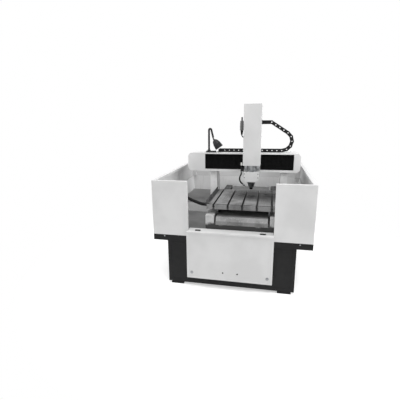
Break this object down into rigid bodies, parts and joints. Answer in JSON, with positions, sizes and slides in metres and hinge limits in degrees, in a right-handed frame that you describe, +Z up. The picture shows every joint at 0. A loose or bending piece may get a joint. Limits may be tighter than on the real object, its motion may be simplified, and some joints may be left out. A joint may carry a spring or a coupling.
{
  "type": "metal engraving machine",
  "caption": "Fixed-gantry engraving machine with a moving T-slot table, a covered vertical head and a sheet-metal splash enclosure.",
  "frame": {"origin": "on the floor, under the middle of the enclosure", "axes": "+X to the operator's right, +Y away from the operator, +Z up; the table travels along Y, the head along X and Z"},
  "size_m": [1.3, 1.512, 1.531],
  "materials": {
    "black_paint": "satin powder coat",
    "panel_paint": "fine-texture powder coat",
    "tray_paint": "powder coat, wet and stained",
    "casting_paint": "enamel on cast iron",
    "cover_sheet": "dull sheet steel",
    "table_iron": "planed, with cutting stains",
    "ground_steel": "ground",
    "dark_steel": "blackened",
    "spindle_steel": "turned",
    "bellows_cloth": "coated cloth",
    "chain_plastic": "moulded nylon",
    "hose_rubber": "matt",
    "lamp_paint": "satin",
    "bulb_glass": "frosted",
    "knob_plastic": "moulded",
    "connector_plastic": "moulded"
  },
  "bodies": {
    "machine_frame": {"base_frame": "black_paint", "foot_plates": "black_paint", "enclosure_frame": "black_paint", "splash_tray": "tray_paint", "side_wall_left": "panel_paint", "side_wall_right": "panel_paint", "back_wall": "panel_paint", "front_panel": "panel_paint", "rear_cover": "panel_paint", "bed": "casting_paint", "way_cover": "cover_sheet", "y_rails": "ground_steel", "y_bearing_blocks": "dark_steel", "y_motor": "dark_steel", "column_left": "panel_paint", "column_right": "panel_paint", "beam": "casting_paint", "beam_cover": "panel_paint", "end_cap_left": "panel_paint", "end_cap_right": "panel_paint", "x_rails": "ground_steel", "x_bearing_blocks": "dark_steel", "x_motor": "dark_steel", "bellows_left": "bellows_cloth", "bellows_right": "bellows_cloth", "lamp_base": "lamp_paint", "lamp_neck": "lamp_paint", "cable_chain": "chain_plastic", "drain_hose": "hose_rubber"},
    "table_drive_screw": {"y_ballscrew": "ground_steel"},
    "cross_drive_screw": {"x_ballscrew": "ground_steel"},
    "head_drive_screw": {"z_ballscrew": "ground_steel"},
    "lamp_head": {"lamp_shade": "lamp_paint", "lamp_bulb": "bulb_glass"},
    "cross_saddle": {"x_saddle": "casting_paint", "x_carriages": "ground_steel", "x_nut": "ground_steel", "head_cover": "panel_paint", "z_rails": "ground_steel", "z_bearing_blocks": "dark_steel", "z_motor": "dark_steel", "chain_bracket": "dark_steel", "head_connector": "connector_plastic", "connector_lead": "hose_rubber"},
    "head_slide": {"z_slide": "ground_steel", "z_carriages": "ground_steel", "z_nut": "ground_steel", "spindle_clamps": "casting_paint", "spindle_body": "spindle_steel", "coolant_manifold": "dark_steel", "coolant_hose": "hose_rubber"},
    "spindle": {"spindle_shaft": "spindle_steel", "collet_nut": "dark_steel", "engraving_bit": "spindle_steel"},
    "coolant_valve": {"coolant_valve_lever": "knob_plastic"},
    "work_table": {"t_slot_table": "table_iron", "table_guards": "dark_steel", "y_saddle": "ground_steel", "y_carriages": "ground_steel", "y_nut": "ground_steel"}
  },
  "joints": [
    {"name": "table_travel", "type": "slide", "parent": "machine_frame", "child": "work_table", "axis": [0, 1, 0], "range_m": [-0.08, 0.484], "deforming": ["drain_hose"]},
    {"name": "cross_travel", "type": "slide", "parent": "machine_frame", "child": "cross_saddle", "axis": [1, 0, 0], "range_m": [-0.318, 0.236], "deforming": ["bellows_left", "bellows_right", "cable_chain"]},
    {"name": "head_travel", "type": "slide", "parent": "cross_saddle", "child": "head_slide", "axis": [0, 0, 1], "range_m": [-0.024, 0.15]},
    {"name": "spindle_spin", "type": "hinge", "parent": "head_slide", "child": "spindle", "pos_m": [0.128, -0.119, 0.761], "axis": [0, 0, 1], "continuous": true},
    {"name": "table_screw_spin", "type": "hinge", "parent": "machine_frame", "child": "table_drive_screw", "pos_m": [0.087, 0, 0.563], "axis": [0, 1, 0], "continuous": true},
    {"name": "cross_screw_spin", "type": "hinge", "parent": "machine_frame", "child": "cross_drive_screw", "pos_m": [0.087, 0.072, 0.99], "axis": [1, 0, 0], "continuous": true},
    {"name": "head_screw_spin", "type": "hinge", "parent": "cross_saddle", "child": "head_drive_screw", "pos_m": [0.128, -0.043, 1.1], "axis": [0, 0, 1], "continuous": true},
    {"name": "lamp_tilt", "type": "hinge", "parent": "machine_frame", "child": "lamp_head", "pos_m": [-0.268, 0.032, 1.214], "axis": [0, 1, 0], "range_deg": [-60, 8]},
    {"name": "coolant_valve_turn", "type": "hinge", "parent": "head_slide", "child": "coolant_valve", "pos_m": [0.033, -0.125, 0.972], "axis": [0, 0, 1], "range_deg": [-90, 0]}
  ],
  "couplings": [
    {"joint": "table_screw_spin", "follows": "table_travel", "rad_per_m": 628.32},
    {"joint": "cross_screw_spin", "follows": "cross_travel", "rad_per_m": 628.32},
    {"joint": "head_screw_spin", "follows": "head_travel", "rad_per_m": 628.32}
  ]
}
